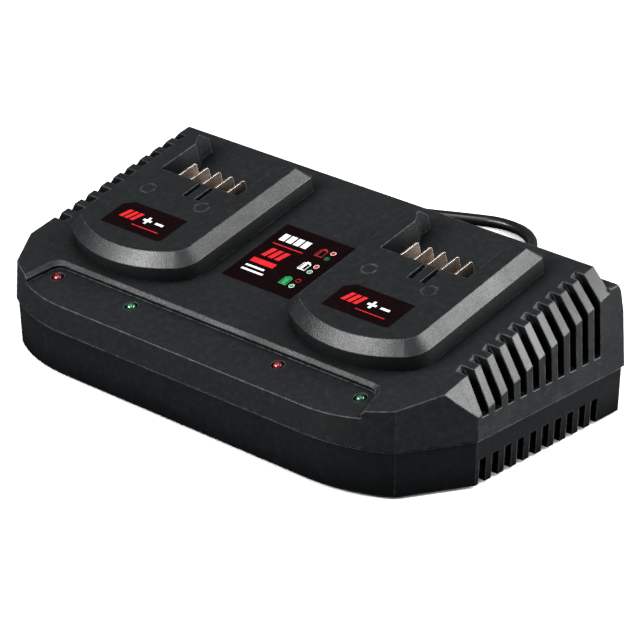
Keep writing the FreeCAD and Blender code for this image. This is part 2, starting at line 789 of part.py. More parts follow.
def coil_edges():
    """Piled loops: in on the table, up a layer, out again, ending a quarter turn on."""
    r = coil_outer_r
    x = coil_x - r
    z = coil_z
    heading = V(0, -1, 0)
    at = V(x, coil_y, z)
    edges = [Part.LineSegment(at + V(0, 2 * cord_r, 0), at).toShape()]
    side = 1
    radii = [r - k * coil_pitch / 2 for k in range(2 * coil_turns_in)]
    for radius in radii:
        to = at + V(side * 2 * radius, 0, 0)
        edges += half_turn(at, to, heading)
        at = to
        side = -side
        heading = heading * -1
    climb = V(2 * (radii[-1] - coil_pitch / 2), 0, coil_pitch)
    to = at + climb
    edges += half_turn(at, to, heading)
    at = to
    side = -1
    heading = heading * -1
    for radius in radii[:0:-1][:2 * coil_turns_in - 2]:
        to = at + V(side * 2 * radius, 0, 0)
        edges += half_turn(at, to, heading)
        at = to
        side = -side
        heading = heading * -1
    last = radii[1]
    corner = at + V(0, last, 0)
    end = corner - V(last, 0, 0)
    mid = end + V(last * math.sin(math.pi / 4), -last * (1 - math.cos(math.pi / 4)), 0)
    edges.append(Part.Arc(at, mid, end).toShape())
    edges.append(Part.LineSegment(end, end - V(2 * cord_r, 0, 0)).toShape())
    return edges, end - V(2 * cord_r, 0, 0)


def self_gap(edges, r):
    """Least space between turns, measured on points along the coil."""
    pts = []
    run = 0.0
    for e in edges:
        n = max(2, int(e.Length / 2))
        for k in range(n):
            t = e.getParameterByLength(e.Length * k / n)
            pts.append((run + e.Length * k / n, e.valueAt(t)))
        run += e.Length
    least = 1e9
    for i in range(0, len(pts)):
        for j in range(i + 1, len(pts)):
            if pts[j][0] - pts[i][0] > 12 * r:
                least = min(least, (pts[j][1] - pts[i][1]).Length)
    return least - 2 * r


def make_tie():
    """Flat strap round the bundle where its loops run side by side."""
    r_out = coil_outer_r - coil_pitch / 2
    r_in = coil_outer_r - coil_pitch * (coil_turns_in - 0.5)
    x = coil_x + tie_shift
    far = coil_pitch / 2 + tie_shift + tie_w / 2
    y0 = coil_y + math.sqrt(r_in * r_in - far * far) - cord_r - tie_clear
    y1 = coil_y + r_out + cord_r + tie_clear
    z1 = coil_z + coil_pitch + cord_r + tie_clear
    outer = box(x - tie_w / 2, x + tie_w / 2, y0 - tie_t, y1 + tie_t, 0, z1 + tie_t)
    inner = box(x - tie_w, x + tie_w, y0, y1, tie_t, z1)
    upright = [e for e in outer.Edges if abs(e.BoundBox.XLength - tie_w) < 0.01]
    return outer.makeFillet(tie_t * 1.6, upright).cut(inner)


def plug_frame(start, towards):
    """Placement with Z along the plug's axis and X level."""
    axis = (towards - start).normalize()
    level = V(0, 0, 1).cross(axis).normalize()
    up = axis.cross(level)
    matrix = FreeCAD.Matrix(level.x, up.x, axis.x, start.x, level.y, up.y, axis.y, start.y,
                            level.z, up.z, axis.z, start.z, 0, 0, 0, 1)
    return FreeCAD.Placement(matrix)


def make_plug(start, towards):
    def section(half_w, half_t, z):
        r = min(half_t * 0.8, half_w * 0.8)
        pts = [(-half_w, -half_t), (half_w, -half_t), (half_w, half_t), (-half_w, half_t)]
        face = Part.Face(Part.makePolygon([V(a, b, z) for a, b in pts + pts[:1]]))
        return rounded(face, r)

    def rounded(face, r):
        half_w = face.BoundBox.XLength / 2
        half_t = face.BoundBox.YLength / 2
        z = face.BoundBox.ZMin
        edges = []
        spots = [(half_w, -half_t, -90), (half_w, half_t, 0), (-half_w, half_t, 90), (-half_w, -half_t, 180)]
        last = None
        first = None
        for x, y, turn in spots:
            cx = x - math.copysign(r, x)
            cy = y - math.copysign(r, y)
            p = [V(cx + r * math.cos(math.radians(turn + a)), cy + r * math.sin(math.radians(turn + a)), z)
                 for a in (0, 45, 90)]
            if last is not None:
                edges.append(Part.LineSegment(last, p[0]).toShape())
            else:
                first = p[0]
            edges.append(Part.Arc(*p).toShape())
            last = p[2]
        edges.append(Part.LineSegment(last, first).toShape())
        return Part.Wire(edges)

    boot_end = plug_boot_len
    neck = plug_boot_len + plug_len * 0.45
    tip = plug_boot_len + plug_len
    taper = Part.makeLoft([section(cord_r + 1.2, cord_r + 1.2, 0), section(6.2, plug_half_t - 1.2, boot_end)],
                          True, True)
    shoulder = Part.makeLoft([section(6.2, plug_half_t - 1.2, boot_end),
                              section(plug_w / 2, plug_half_t, neck)], True, True)
    head = Part.Face(section(plug_w / 2, plug_half_t, neck)).extrude(V(0, 0, tip - neck))
    body = joined([taper, shoulder, head])
    place = plug_frame(start, towards)
    pins = []
    for side in (-1, 1):
        pin = joined([Part.makeCylinder(pin_r, pin_len - pin_r, V(side * pin_half_gap, 0, tip)),
                      Part.makeSphere(pin_r, V(side * pin_half_gap, 0, tip + pin_len - pin_r))])
        pin.Placement = place
        pins.append(pin)
    body.Placement = place
    return body, pins


def make_boot():
    y = rear_y - seam_overhang
    inner = y - wall
    profile = [(cord_r, inner - flange_t), (flange_r, inner - flange_t), (flange_r, inner), (gland_r, inner),
               (gland_r, y), (boot_r0, y), (boot_r1, y + boot_len), (cord_r, y + boot_len)]
    wire = Part.makePolygon([V(r, v, 0) for r, v in profile + profile[:1]])
    boot = Part.Face(wire).revolve(V(0, 0, 0), V(0, 1, 0), 360)
    boot = boot if boot.ShapeType == "Solid" else Part.Solid(boot.Shells[0])
    boot.translate(V(cord_x, 0, cord_z))
    return boot


def inner_cord_points():
    y = rear_y - seam_overhang + boot_len
    return [(cord_x, y, cord_z), (cord_x, 40, cord_z), (cord_x + 2.5, 28, 16.2),
            (cord_x + 10.5, 18, 19.4), (cord_x + 15, terminal_y + 7, 19.6),
            (cord_x + 15, terminal_y, 19.6)]


def make_clamp():
    low = cord_z + 0.3
    bar = box(cord_x - clamp_half_w, cord_x + clamp_half_w, clamp_y - 3, clamp_y + 3, low, clamp_top_z)
    saddle = Part.makeCylinder(cord_r + 0.05, 20, V(cord_x, clamp_y - 10, cord_z), V(0, 1, 0))
    legs = [box(cord_x + s * clamp_screw_x - 3.6, cord_x + s * clamp_screw_x + 3.6, clamp_y - 3, clamp_y + 3,
                cord_z - cord_r, low + 0.2) for s in (-1, 1)]
    holes = [rod(screw_r + screw_clear, 0, 40, cord_x + s * clamp_screw_x, clamp_y) for s in (-1, 1)]
    return cut_all(joined([bar] + legs), holes + [saddle])


def make_clamp_screws():
    top = clamp_top_z
    return [joined([rod(screw_r, foot_proud + wall + 1, top, cord_x + s * clamp_screw_x, clamp_y),
                    rod(screw_head_r, top, top + 2, cord_x + s * clamp_screw_x, clamp_y)]) for s in (-1, 1)]


def lead_points(x, at_x):
    """Centre line of the leads from a contact carrier down to its board socket."""
    turn = FreeCAD.Rotation(V(1, 0, 0), math.degrees(slope))
    start = turn.multVec(V(blade_first_u + 2 * blade_pitch, blade_root_v + 2, blade_tail_w)) + V(x, 0, top_z)
    z = board_z + board_t + 7
    return [(start.x, start.y, start.z - 0.1), (start.x, start.y + 2, start.z - 9),
            (at_x, socket_y, z + 12), (at_x, socket_y, z)]


# Everything is made and written
save("upper_housing", joined([make_upper_housing()] + make_led_board_posts()))
save("lower_housing", make_lower_housing())
for side_name, x in (("left", -bay_x), ("right", bay_x)):
    save(side_name + "_battery_bay", make_bay(x))
    save(side_name + "_contact_carrier", make_carrier(x))
    save(side_name + "_contact_blades", make_blades(x))
    save(side_name + "_bay_label", bay_label(x))
save("centre_label", centre_label())
for name, x in zip(("outer_left", "inner_left", "inner_right", "outer_right"), led_x):
    save("status_light_" + name, make_led(x))
save("status_light_board", make_led_board())
save("bay_screws", make_bay_screws())
save("housing_screws", make_housing_screws())
save("main_circuit_board", make_board())
save("board_screws", make_board_screws())
for name, shape in board_parts().items():
    save(name, shape)
save("rubber_feet", [rod(foot_r, 0, foot_h, x, y) for x, y in foot_places])
save("rating_plate", box(-plate_size[0] / 2, plate_size[0] / 2, -plate_size[1] / 2, plate_size[1] / 2,
                         foot_proud - label_t, foot_proud))
save("strain_relief_boot", make_boot())
save("cord_clamp", make_clamp())
save("clamp_screws", make_clamp_screws())
save("mains_cord_inside", make_tube(inner_cord_points(), cord_r, "inner cord"))
save("left_output_lead", make_tube(lead_points(-bay_x, socket_x[0]), 1.6, "left lead"))
save("right_output_lead", make_tube(lead_points(bay_x, socket_x[1]), 1.6, "right lead"))
save("mains_cord_stretch", make_tube(stretch_points, cord_r, "stretch"))
loops, coil_end = coil_edges()
coil_wire = Part.Wire(loops)
print("coil gap", round(self_gap(loops, cord_r), 2))
save("mains_cord_coil", tube_along(coil_wire, cord_r, "coil"))
save("coil_tie", make_tie())
tail_points = [tuple(coil_end), (14, coil_end.y, coil_z + coil_pitch), (-3, 155.5, 11.4), (-18, 149, 10.2),
               (-32, 143.5, plug_half_t), (-45, 138.5, plug_half_t)]
save("mains_cord_tail", make_tube(tail_points, cord_r, "tail"))
plug_start = V(*tail_points[-1])
plug_body, plug_pins = make_plug(plug_start, plug_start + V(-13, -5, 0))
save("plug_body", plug_body)
save("plug_pins", plug_pins)
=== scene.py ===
import bpy, bmesh, json
from math import sin, cos, radians, pi, atan
from mathutils import Vector, Matrix


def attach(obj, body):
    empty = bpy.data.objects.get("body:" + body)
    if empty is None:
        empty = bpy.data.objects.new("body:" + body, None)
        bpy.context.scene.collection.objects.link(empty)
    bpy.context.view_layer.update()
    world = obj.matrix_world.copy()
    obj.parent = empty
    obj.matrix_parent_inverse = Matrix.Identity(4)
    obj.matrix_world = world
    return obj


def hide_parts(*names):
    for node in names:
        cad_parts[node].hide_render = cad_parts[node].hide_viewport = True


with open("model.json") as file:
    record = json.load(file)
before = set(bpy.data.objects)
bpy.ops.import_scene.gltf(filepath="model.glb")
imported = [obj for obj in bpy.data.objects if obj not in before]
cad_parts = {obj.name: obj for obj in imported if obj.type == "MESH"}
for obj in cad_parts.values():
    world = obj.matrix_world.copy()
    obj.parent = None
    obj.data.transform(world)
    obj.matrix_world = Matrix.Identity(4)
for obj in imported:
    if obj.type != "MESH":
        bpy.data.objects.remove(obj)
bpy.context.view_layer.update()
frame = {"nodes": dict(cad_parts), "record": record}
nodes = frame["nodes"]
mm = 0.001
print("frame loaded:", len(nodes), "nodes")

# Sizes below are in millimetres, and those inside effects and lamps in metres

def fullColour(c):
    return tuple(c) if len(c) == 4 else (*c, 1.0)


# The camera stands where the photograph was taken from
camera = dict(turn=42.53, tilt=24.74, place=(978.4, -1044.5, 689.65), focal=182.93)


def makeCamera(c):
    a, e = radians(c["turn"]), radians(c["tilt"])
    back = Vector((sin(a) * cos(e), -cos(a) * cos(e), sin(e)))
    right = Vector((cos(a), sin(a), 0))
    up = back.cross(right)
    data = bpy.data.cameras.new("camera")
    data.lens, data.sensor_width = c["focal"], 36
    data.clip_end = 20
    obj = bpy.data.objects.new("camera", data)
    turn = Matrix((right, up, back)).transposed().to_4x4()
    obj.matrix_world = Matrix.Translation(Vector(c["place"]) * mm) @ turn
    bpy.context.collection.objects.link(obj)
    bpy.context.scene.camera = obj


makeCamera(camera)
print("camera set")

# The mains cord: one spline from the boot, round the coil and on to the plug
cord = dict(radius=3.1, x=-120, z=13.5, wallY=76.3, bootLength=32, coilX=38.5, coilY=124.5, coilZ=3.9,
            outerRadius=40, pitch=6.8, turnsIn=3, perHalfTurn=6, length=1.405,
            stretch=((-120, 124, 13.5), (-119.5, 147, 3.7), (-112, 168, 3.1), (-95, 186.5, 3.1),
                     (-74, 196, 3.1), (-57, 205, 3.1), (-41, 212.5, 3.1), (-23, 211, 3.1), (-9, 200, 3.1),
                     (-2.2, 182, 3.1), (-1.5, 156, 3.9)),
            tailX=14, tail=((-3, 155.5, 11.4), (-18, 149, 10.2), (-32, 143.5, 6.85), (-45, 138.5, 6.85)))


# Corners of a many-sided line round each half turn of the loops, whose spline is round
def coilPoints(c):
    pts = []
    x, y, z, r = c["coilX"] - c["outerRadius"], c["coilY"], c["coilZ"], c["outerRadius"]
    step = pi / c["perHalfTurn"]
    radii = [r - k * c["pitch"] / 2 for k in range(2 * c["turnsIn"])]
    plan = [(q, 0) for q in radii] + [(radii[-1] - c["pitch"] / 2, 1)] + [(q, 0) for q in radii[:1:-1]]
    side, level = 1, z
    for q, climb in plan:
        centre = x + side * q
        for k in range(c["perHalfTurn"]):
            turned = (k + 0.5) * step
            big = q / cos(step / 2)
            lift = level + (c["pitch"] * (k + 0.5) / c["perHalfTurn"] if climb else 0)
            pts.append((centre - side * big * cos(turned), y - side * big * sin(turned), lift))
        x += side * 2 * q
        level += c["pitch"] if climb else 0
        side = -side
    q = radii[1]
    for k in range(c["perHalfTurn"] // 2):
        turned = (k + 0.5) * step
        big = q / cos(step / 2)
        pts.append((x - q + big * cos(turned), y + big * sin(turned), level))
    return pts, (x - q, y + q, level)


def makeCord(c):
    start = (c["x"], c["wallY"] + c["bootLength"], c["z"])
    loops, end = coilPoints(c)
    pts = [start, *c["stretch"], *loops, (c["tailX"], end[1], end[2]), *c["tail"]]
    data = bpy.data.curves.new("mains_cord", "CURVE")
    data.dimensions = "3D"
    data.bevel_depth = 1
    data.bevel_resolution = 5
    data.resolution_u = 8
    data.use_fill_caps = True
    line = data.splines.new("NURBS")
    line.points.add(len(pts) - 1)
    for p, q in zip(line.points, pts):
        p.co = (q[0] * mm, q[1] * mm, q[2] * mm, 1)
        p.radius = c["radius"] * mm
    line.order_u = 3
    line.use_endpoint_u = True
    obj = bpy.data.objects.new("mains_cord", data)
    bpy.context.collection.objects.link(obj)
    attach(obj, "root")
    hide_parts("mains_cord_stretch", "mains_cord_coil", "mains_cord_tail")
    return obj


mainsCord = makeCord(cord)
print("cord laid")


# Shared effects as node groups
def newGroup(name, inputs, outputs):
    g = bpy.data.node_groups.new(name, "ShaderNodeTree")
    for n, kind, value in inputs:
        s = g.interface.new_socket(n, in_out="INPUT", socket_type=kind)
        if value is not None:
            s.default_value = value
    for n, kind in outputs:
        g.interface.new_socket(n, in_out="OUTPUT", socket_type=kind)
    return g, g.nodes.new("NodeGroupInput"), g.nodes.new("NodeGroupOutput")


def node(tree, kind, **sets):
    n = tree.nodes.new(kind)
    for k, v in sets.items():
        setattr(n, k, v)
    return n


# Gives an input a link when the value is a socket, else a constant
def feed(tree, socket, value):
    if hasattr(value, "links"):
        tree.links.new(value, socket)
    elif value is not None:
        socket.default_value = value


def mixColour(tree, factor, a, b):
    n = node(tree, "ShaderNodeMix", data_type="RGBA", blend_type="MIX")
    for k, v in ((0, factor), (6, a), (7, b)):
        feed(tree, n.inputs[k], v)
    return n.outputs[2]


def calculate(tree, kind, a, b, c=None, clamp=False):
    n = node(tree, "ShaderNodeMath", operation=kind, use_clamp=clamp)
    for socket, v in zip(n.inputs, (a, b, c)):
        feed(tree, socket, v)
    return n.outputs[0]


def noise(tree, place, scale, detail):
    n = node(tree, "ShaderNodeTexNoise")
    for k, v in (("Vector", place), ("Scale", scale), ("Detail", detail)):
        feed(tree, n.inputs[k], v)
    return n.outputs["Fac"]


# How far the rounded normal leaves the true one: 0 on flats, 1 at edges
def edgeMask(tree, radius, rounded, reach):
    tree.links.new(radius, rounded.inputs["Radius"])
    shape = node(tree, "ShaderNodeNewGeometry")
    dot = node(tree, "ShaderNodeVectorMath", operation="DOT_PRODUCT")
    tree.links.new(rounded.outputs["Normal"], dot.inputs[0])
    tree.links.new(shape.outputs["Normal"], dot.inputs[1])
    return mapRange(tree, dot.outputs["Value"], 0.999, reach, 0, 1)


def mapRange(tree, value, a, b, c, d):
    n = node(tree, "ShaderNodeMapRange", clamp=True)
    for socket, v in zip(n.inputs, (value, a, b, c, d)):
        feed(tree, socket, v)
    return n.outputs[0]


# The hollow settings drive painted shade in hollows (darker colour, less shine) and a rougher surface there
mould = dict(cloudScale=34, scuffScale=300, edgeReach=0.93, broken=(0.38, 0.62, 0.25, 1),
             speck=(0.75, 1.25, 0.75, 1.3), hollowReach=0.02, hollow=(0.58, 0.92), hollowShadeTone=0.3,
             hollowRough=0.45, hollowShadeShine=0.1, marks=(0.55, 0.75), roughDrift=0.35, bumpHeight=0.00012,
             scuffBump=1.6, samples=6)


# Fine spark texture, cloudy tone, scuffs, painted shade in hollows, and rubbed edges that are partly wear
# and partly a painted highlight, of a moulding
def makeMouldGroup(m):
    g, inp, out = newGroup("mouldedSurface", [
        ("Colour", "NodeSocketColor", (0.02, 0.02, 0.02, 1)),
        ("RubbedAndHighlight", "NodeSocketColor", (0.08, 0.08, 0.08, 1)),
        ("Grain", "NodeSocketFloat", 2500.0), ("Depth", "NodeSocketFloat", 0.25),
        ("Drift", "NodeSocketFloat", 0.2), ("Rough", "NodeSocketFloat", 0.5),
        ("Edge", "NodeSocketFloat", 0.0004), ("WearAndHighlight", "NodeSocketFloat", 0.5),
        ("Shine", "NodeSocketFloat", 0.5)],
        [("Colour", "NodeSocketColor"), ("Roughness", "NodeSocketFloat"), ("Shine", "NodeSocketFloat"),
         ("Normal", "NodeSocketVector")])
    link = g.links.new
    place = node(g, "ShaderNodeTexCoord").outputs["Object"]
    grain = noise(g, place, inp.outputs["Grain"], 3)
    cloud = noise(g, place, m["cloudScale"], 5)
    scuffs = noise(g, place, m["scuffScale"], 6)
    pits = node(g, "ShaderNodeTexVoronoi")
    link(place, pits.inputs["Vector"])
    link(inp.outputs["Grain"], pits.inputs["Scale"])
    rounded = node(g, "ShaderNodeBevel", samples=m["samples"])
    mask = edgeMask(g, inp.outputs["Edge"], rounded, m["edgeReach"])
    broken = mapRange(g, scuffs, *m["broken"])
    wearAndHighlight = calculate(g, "MULTIPLY", calculate(g, "MULTIPLY", mask, broken), inp.outputs["WearAndHighlight"], clamp=True)
    light = mapRange(g, cloud, 0.3, 0.7, -1, 1)
    tone = calculate(g, "MULTIPLY_ADD", light, inp.outputs["Drift"], 1)
    speck = mapRange(g, calculate(g, "ADD", grain, scuffs), *m["speck"])
    # Painted shade: an ambient-occlusion mask darkens the colour in hollows, corners and under parts
    hollow = node(g, "ShaderNodeAmbientOcclusion", samples=m["samples"])
    hollow.inputs["Distance"].default_value = m["hollowReach"]
    openness = mapRange(g, hollow.outputs["AO"], *m["hollow"], 0, 1)
    scaled = node(g, "ShaderNodeVectorMath", operation="SCALE")
    link(inp.outputs["Colour"], scaled.inputs[0])
    lit = mapRange(g, openness, 0, 1, m["hollowShadeTone"], 1)
    link(calculate(g, "MULTIPLY", calculate(g, "MULTIPLY", tone, speck), lit), scaled.inputs["Scale"])
    # Lighter edges: partly rubbed wear, partly a painted highlight along the edges
    link(mixColour(g, wearAndHighlight, scaled.outputs[0], inp.outputs["RubbedAndHighlight"]), out.inputs["Colour"])
    marks = mapRange(g, scuffs, *m["marks"], 0, 1)
    spread = calculate(g, "MULTIPLY_ADD", calculate(g, "SUBTRACT", marks, light), inp.outputs["Drift"], 0)
    rough = calculate(g, "MULTIPLY_ADD", spread, m["roughDrift"], inp.outputs["Rough"])
    dull = mapRange(g, openness, 0, 1, m["hollowRough"], 0)
    link(calculate(g, "ADD", rough, dull, clamp=True), out.inputs["Roughness"])
    # Painted shade on reflections: the shine drops in hollows
    shine = mapRange(g, openness, 0, 1, m["hollowShadeShine"], 1)
    link(calculate(g, "MULTIPLY", inp.outputs["Shine"], shine), out.inputs["Shine"])
    fine = calculate(g, "ADD", grain, pits.outputs["Distance"])
    bump = node(g, "ShaderNodeBump")
    bump.inputs["Distance"].default_value = m["bumpHeight"]
    link(inp.outputs["Depth"], bump.inputs["Strength"])
    link(calculate(g, "MULTIPLY_ADD", scuffs, m["scuffBump"], fine), bump.inputs["Height"])
    link(rounded.outputs["Normal"], bump.inputs["Normal"])
    link(bump.outputs["Normal"], out.inputs["Normal"])
    return g


brush = dict(lineScale=900, stainScale=160, stain=(0.42, 0.7, 0, 0.75), edgeReach=0.8, lineRough=0.2,
             edgeRough=0.2, bumpStrength=0.12, bumpHeight=0.0001, samples=6)


# Fine lines, a faint tarnish and a painted highlight along the edges of plated or drawn metal
def makeBrushGroup(m):
    g, inp, out = newGroup("brushedMetal", [
        ("Colour", "NodeSocketColor", (0.5, 0.5, 0.5, 1)),
        ("Tarnish", "NodeSocketColor", (0.2, 0.15, 0.1, 1)),
        ("Bright", "NodeSocketColor", (0.9, 0.9, 0.9, 1)),
        ("Stretch", "NodeSocketVector", (1.0, 12.0, 1.0)),
        ("Rough", "NodeSocketFloat", 0.3), ("Edge", "NodeSocketFloat", 0.0002)],
        [("Colour", "NodeSocketColor"), ("Roughness", "NodeSocketFloat"), ("Normal", "NodeSocketVector")])
    link = g.links.new
    place = node(g, "ShaderNodeTexCoord").outputs["Object"]
    squeeze = node(g, "ShaderNodeVectorMath", operation="MULTIPLY")
    link(place, squeeze.inputs[0])
    link(inp.outputs["Stretch"], squeeze.inputs[1])
    lines = noise(g, squeeze.outputs[0], m["lineScale"], 4)
    stain = mapRange(g, noise(g, place, m["stainScale"], 3), *m["stain"])
    rounded = node(g, "ShaderNodeBevel", samples=m["samples"])
    mask = edgeMask(g, inp.outputs["Edge"], rounded, m["edgeReach"])
    plain = mixColour(g, stain, inp.outputs["Colour"], inp.outputs["Tarnish"])
    # Painted highlight: the edges take a brighter colour
    link(mixColour(g, mask, plain, inp.outputs["Bright"]), out.inputs["Colour"])
    rough = calculate(g, "MULTIPLY_ADD", lines, m["lineRough"], inp.outputs["Rough"])
    link(calculate(g, "MULTIPLY_ADD", mask, m["edgeRough"], rough), out.inputs["Roughness"])
    bump = node(g, "ShaderNodeBump")
    bump.inputs["Strength"].default_value = m["bumpStrength"]
    bump.inputs["Distance"].default_value = m["bumpHeight"]
    link(lines, bump.inputs["Height"])
    link(rounded.outputs["Normal"], bump.inputs["Normal"])
    link(bump.outputs["Normal"], out.inputs["Normal"])
    return g


mouldGroup = makeMouldGroup(mould)
brushGroup = makeBrushGroup(brush)


def newMaterial(name):
    m = bpy.data.materials.new(name)
    m.use_nodes = True
    return m, m.node_tree, m.node_tree.nodes["Principled BSDF"]


def withGroup(name, group, values, fixed):
    m, tree, shader = newMaterial(name)
    g = node(tree, "ShaderNodeGroup", node_tree=group)
    for k, v in values.items():
        g.inputs[k].default_value = fullColour(v) if k in ("Colour", "RubbedAndHighlight", "Tarnish", "Bright") else v
    tree.links.new(g.outputs["Colour"], shader.inputs["Base Color"])
    tree.links.new(g.outputs["Roughness"], shader.inputs["Roughness"])
    tree.links.new(g.outputs["Normal"], shader.inputs["Normal"])
    if "Shine" in g.outputs:
        tree.links.new(g.outputs["Shine"], shader.inputs["Specular IOR Level"])
    for k, v in fixed.items():
        shader.inputs[k].default_value = v
    m.diffuse_color = fullColour(values["Colour"])
    return m


# Rubbed edges are lighter than the colour unless a rubbed colour is given: partly wear, partly a painted
# highlight along the edges
def moulded(name, colour, rough=0.5, grain=2500.0, depth=0.25, rubbedAndHighlight=None, wearAndHighlight=0.5, edge=0.0004,
            drift=0.18, shine=0.5, **fixed):
    rubbedAndHighlight = rubbedAndHighlight or tuple(min(1, v * 3 + 0.02) for v in colour)
    values = dict(Colour=colour, RubbedAndHighlight=rubbedAndHighlight, Grain=grain, Depth=depth, Rough=rough, WearAndHighlight=wearAndHighlight, Edge=edge,
                  Drift=drift, Shine=shine)
    return withGroup(name, mouldGroup, values, fixed)


def metal(name, colour, tarnish, rough=0.3, stretch=(1.0, 12.0, 1.0), edgeHighlight=(0.9, 0.9, 0.9), edge=0.0002):
    values = dict(Colour=colour, Tarnish=tarnish, Stretch=stretch, Rough=rough, Bright=edgeHighlight, Edge=edge)
    return withGroup(name, brushGroup, values, dict(Metallic=1.0))


coat = "Coat Weight"
finish = {
    "housing_plastic": moulded("housingBlack", (0.0068, 0.0078, 0.0084), rough=0.40, grain=2300.0,
                               depth=0.5, rubbedAndHighlight=(0.07, 0.073, 0.077), wearAndHighlight=0.9, edge=0.0009, drift=0.3,
                               shine=0.32),
    # The lower housing is the same plastic as the upper one, made darker and less shiny: painted shade on
    # the lower walls
    "lower_housing": moulded("lowerBlackShaded", (0.0050, 0.0058, 0.0064), rough=0.42, grain=2300.0, depth=0.4,
                             rubbedAndHighlight=(0.07, 0.073, 0.077), wearAndHighlight=0.9, edge=0.0009, drift=0.25, shine=0.17),
    "bay_plastic": moulded("bayBlack", (0.0062, 0.0072, 0.0078), rough=0.36, grain=2600.0, depth=0.4,
                           rubbedAndHighlight=(0.08, 0.082, 0.085), wearAndHighlight=0.8, edge=0.0006, drift=0.3, shine=0.36),
    "carrier_plastic": moulded("carrierBlack", (0.004, 0.004, 0.004), rough=0.55, wearAndHighlight=0.2),
    "label_film": moulded("labelFilm", (0.0030, 0.0006, 0.0008), rough=0.32, grain=900.0, depth=0.03,
                          wearAndHighlight=0.1, edge=0.0001, drift=0.1, shine=0.08),
    "plate_film": moulded("plateFilm", (0.012, 0.012, 0.013), rough=0.4, grain=1200.0, depth=0.05,
                          wearAndHighlight=0.2, edge=0.0001),
    "contact_metal": metal("contactNickel", (0.23, 0.18, 0.145), (0.09, 0.065, 0.05), 0.34,
                           edgeHighlight=(1.0, 0.93, 0.84), edge=0.0003),
    "red_lens": moulded("redLens", (0.16, 0.003, 0.008), rough=0.12, grain=400.0, depth=0.02, wearAndHighlight=0.0,
                        drift=0.3, **{coat: 1.0}),
    "green_lens": moulded("greenLens", (0.003, 0.07, 0.025), rough=0.12, grain=400.0, depth=0.02,
                          wearAndHighlight=0.0, drift=0.3, **{coat: 1.0}),
    "circuit_board": moulded("boardLacquer", (0.01, 0.09, 0.03), rough=0.3, grain=700.0, depth=0.1,
                             drift=0.3),
    "ferrite": moulded("ferrite", (0.035, 0.035, 0.038), rough=0.7, grain=1400.0, depth=0.6),
    "winding_tape": moulded("windingTape", (0.55, 0.38, 0.05), rough=0.35, grain=500.0, depth=0.15),
    "sink_aluminium": metal("sinkAluminium", (0.72, 0.72, 0.74), (0.5, 0.5, 0.52), 0.32, (12.0, 1.0, 1.0)),
    "package_plastic": moulded("packageBlack", (0.012, 0.012, 0.013), rough=0.5),
    "capacitor_sleeve": moulded("capacitorSleeve", (0.01, 0.012, 0.04), rough=0.22, grain=600.0,
                                depth=0.05),
    "fuse_ceramic": moulded("fuseCeramic", (0.7, 0.68, 0.62), rough=0.25, grain=500.0, depth=0.05),
    "terminal_plastic": moulded("terminalGreen", (0.02, 0.14, 0.06), rough=0.4),
    "socket_plastic": moulded("socketNylon", (0.62, 0.6, 0.5), rough=0.45),
    "screw_steel": metal("screwZinc", (0.6, 0.6, 0.62), (0.35, 0.33, 0.3), 0.3),
    "foot_rubber": moulded("footRubber", (0.010, 0.010, 0.010), rough=0.75, grain=1500.0, depth=0.6,
                           wearAndHighlight=0.3),
    "cord_rubber": moulded("cordSheath", (0.0045, 0.0045, 0.0048), rough=0.24, grain=900.0, depth=0.12,
                           wearAndHighlight=0.0, drift=0.25, **{coat: 0.35, "Coat Roughness": 0.12}),
    "lead_sheath": moulded("leadSheath", (0.30, 0.01, 0.01), rough=0.4, grain=900.0, depth=0.1),
    "plug_plastic": moulded("plugBlack", (0.006, 0.006, 0.0065), rough=0.36, grain=1700.0, depth=0.25),
    "pin_brass": metal("pinNickel", (0.72, 0.69, 0.62), (0.5, 0.4, 0.25), 0.2, (1.0, 1.0, 1.0)),
    "tie_plastic": moulded("tieStrap", (0.008, 0.008, 0.008), rough=0.45, grain=1100.0, depth=0.3),
}
for row in frame["record"]["subparts"]:
    obj = nodes[row["node"]]
    obj.data.materials.clear()
    obj.data.materials.append(finish.get(row["node"], finish[row["material_slot"]]))
mainsCord.data.materials.append(finish["cord_rubber"])
print("finishes made:", len(finish))

# Prints on the labels: plain marks, drawn in the frame of the sloping top (u across, v up, w off it)
slopeAngle = atan(0.2402)
topZ = 60.6
bayTop = 13.8
labelThick = 0.25
inkThick = 0.06
inks = {"red": (0.42, 0.010, 0.014), "white": (0.58, 0.58, 0.58), "green": (0.02, 0.24, 0.07),
        "darkGreen": (0.01, 0.10, 0.04), "darkRed": (0.22, 0.01, 0.015)}
inkMaterials = {k: moulded("ink" + k[0].upper() + k[1:], v, rough=0.35, grain=1500.0, depth=0.05, wearAndHighlight=0.0,
                           edge=0.00005, drift=0.06) for k, v in inks.items()}


def tiltPlace(x, w):
    lift = Matrix.Translation((x * mm, 0, topZ * mm)) @ Matrix.Rotation(slopeAngle, 4, "X")
    return lift @ Matrix.Translation((0, 0, w * mm)) @ Matrix.Scale(mm, 4)


def addOutline(bm, pts):
    face = bm.faces.new([bm.verts.new((u, v, 0)) for u, v in pts])
    grown = bmesh.ops.extrude_face_region(bm, geom=[face])
    top = [e for e in grown["geom"] if isinstance(e, bmesh.types.BMVert)]
    bmesh.ops.translate(bm, vec=(0, 0, inkThick), verts=top)


# A closed outline with an even line width, from an outline and its smaller copy
def addFrame(bm, pts, centre, share):
    (x, y), (wide, high) = centre, share
    inner = [(x + (u - x) * wide, y + (v - y) * high) for u, v in pts]
    n = len(pts)
    for k in range(n):
        addOutline(bm, [pts[k], pts[(k + 1) % n], inner[(k + 1) % n], inner[k]])


def ring(u, v, r, n=20):
    return [(u + r * cos(2 * pi * k / n), v + r * sin(2 * pi * k / n)) for k in range(n)]


def bar(u0, v0, u1, v1, lean=0.0):
    return [(u0, v0), (u1, v0), (u1 + lean, v1), (u0 + lean, v1)]


